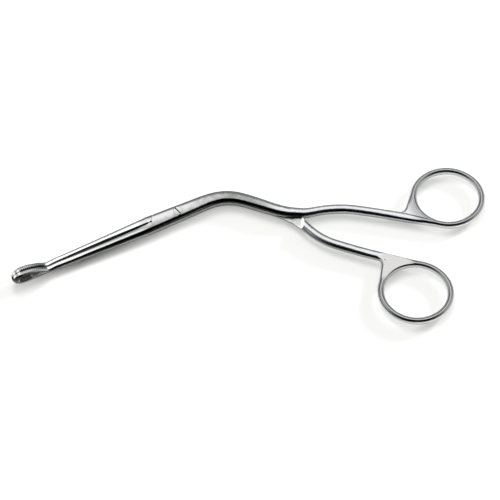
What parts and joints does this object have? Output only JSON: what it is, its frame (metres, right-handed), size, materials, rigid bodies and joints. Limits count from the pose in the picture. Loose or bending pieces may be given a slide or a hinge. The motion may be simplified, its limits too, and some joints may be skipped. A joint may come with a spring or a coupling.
{
  "type": "magill forceps",
  "caption": "Angled intubating forceps in stainless steel with long closed jaws, oval windowed tips with cross teeth, a ground lap joint on a slotted screw, and oval finger rings.",
  "frame": {"origin": "on the pivot axis, at the ground underside of the lap, where the screw ends flush", "axes": "-X along the closed jaws to the nose, +Z along the pivot axis to the screw's head, so the finger rings lie towards +X and -Y"},
  "size_m": [0.2441, 0.1183, 0.0103],
  "materials": {
    "satin_steel": "satin on the flats, polished on the jaws, arms and rings",
    "screw_steel": "turned and ground flush"
  },
  "bodies": {
    "lower_part": {"lower_half": "satin_steel", "pivot_screw": "screw_steel"},
    "upper_part": {"upper_half": "satin_steel"}
  },
  "joints": [
    {"name": "pivot", "type": "hinge", "parent": "lower_part", "child": "upper_part", "pos_m": [0, 0, 0], "axis": [0, 0, 1], "range_deg": [0, 35]}
  ]
}
